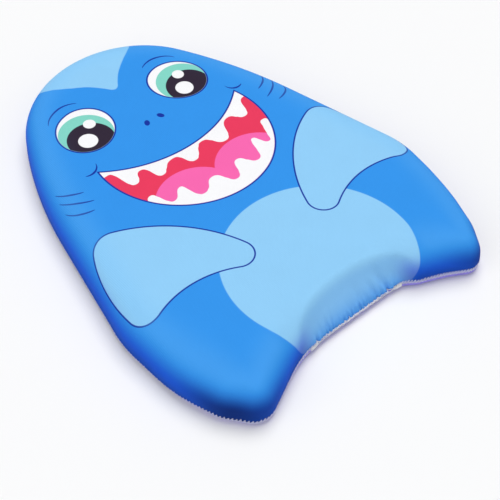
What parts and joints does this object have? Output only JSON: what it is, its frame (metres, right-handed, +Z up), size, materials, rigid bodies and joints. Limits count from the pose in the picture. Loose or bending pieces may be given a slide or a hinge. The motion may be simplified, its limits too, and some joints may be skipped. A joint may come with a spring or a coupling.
{
  "type": "kickboard float",
  "caption": "Shark-shaped swimming kickboard: a foam board with a round nose and a notched tail, sewn into a printed fabric cover.",
  "frame": {"origin": "on the underside, at the middle of the board's length and width", "axes": "+Z up through the thickness, +Y to the rounded nose, +X to the right when the print is seen from above with the nose away"},
  "size_m": [0.3104, 0.4018, 0.036],
  "materials": {
    "foam": "matte",
    "printed_fabric": "satin",
    "plain_fabric": "satin",
    "thread": "satin"
  },
  "bodies": {
    "root": {"foam_core": "foam", "top_cover": "printed_fabric", "bottom_cover": "plain_fabric", "overlock_needle_thread": "thread", "overlock_looper_thread": "thread", "closing_seam_thread": "thread", "bartack_left": "thread", "bartack_right": "thread"}
  },
  "joints": []
}
